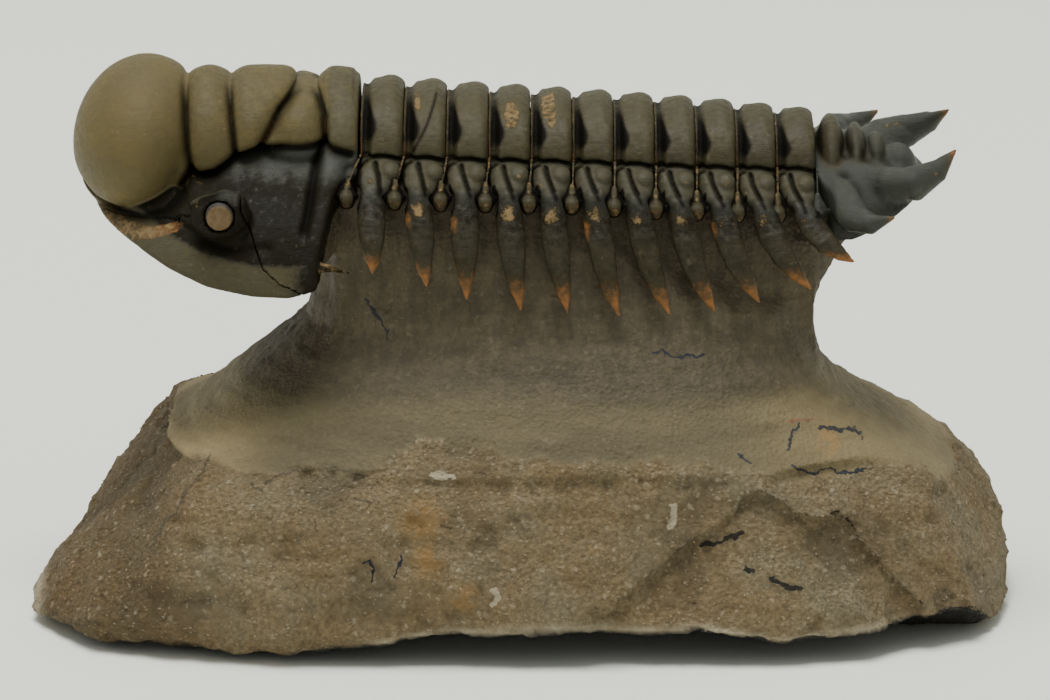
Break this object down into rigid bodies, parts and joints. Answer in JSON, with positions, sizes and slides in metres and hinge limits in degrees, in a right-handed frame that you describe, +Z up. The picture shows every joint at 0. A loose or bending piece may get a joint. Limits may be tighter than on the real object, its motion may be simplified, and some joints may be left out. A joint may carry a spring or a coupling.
{
  "type": "trilobite fossil on its matrix",
  "caption": "Trilobite fossil with a bulbous head, ringed trunk and side spines, standing on a carved neck of its limestone block.",
  "frame": {"origin": "centre of the overall bounding box's underside, where the rock rests", "axes": "+Z up, +X from the head to the tail along the body, -Y towards the animal's left side"},
  "size_m": [0.0874, 0.056, 0.0486],
  "materials": {
    "limestone": "matte",
    "shell_olive": "satin",
    "shell_dark": "satin",
    "eye_calcite": "satin"
  },
  "bodies": {
    "root": {"matrix": "limestone", "cranidium": "shell_olive", "free_cheek_left": "shell_dark", "free_cheek_right": "shell_dark", "eye_left": "eye_calcite", "eye_right": "eye_calcite", "thoracic_segment_01": "shell_olive", "thoracic_segment_02": "shell_olive", "thoracic_segment_03": "shell_olive", "thoracic_segment_04": "shell_olive", "thoracic_segment_05": "shell_olive", "thoracic_segment_06": "shell_olive", "thoracic_segment_07": "shell_olive", "thoracic_segment_08": "shell_olive", "thoracic_segment_09": "shell_olive", "thoracic_segment_10": "shell_olive", "thoracic_segment_11": "shell_olive", "pygidium": "shell_dark"}
  },
  "joints": []
}
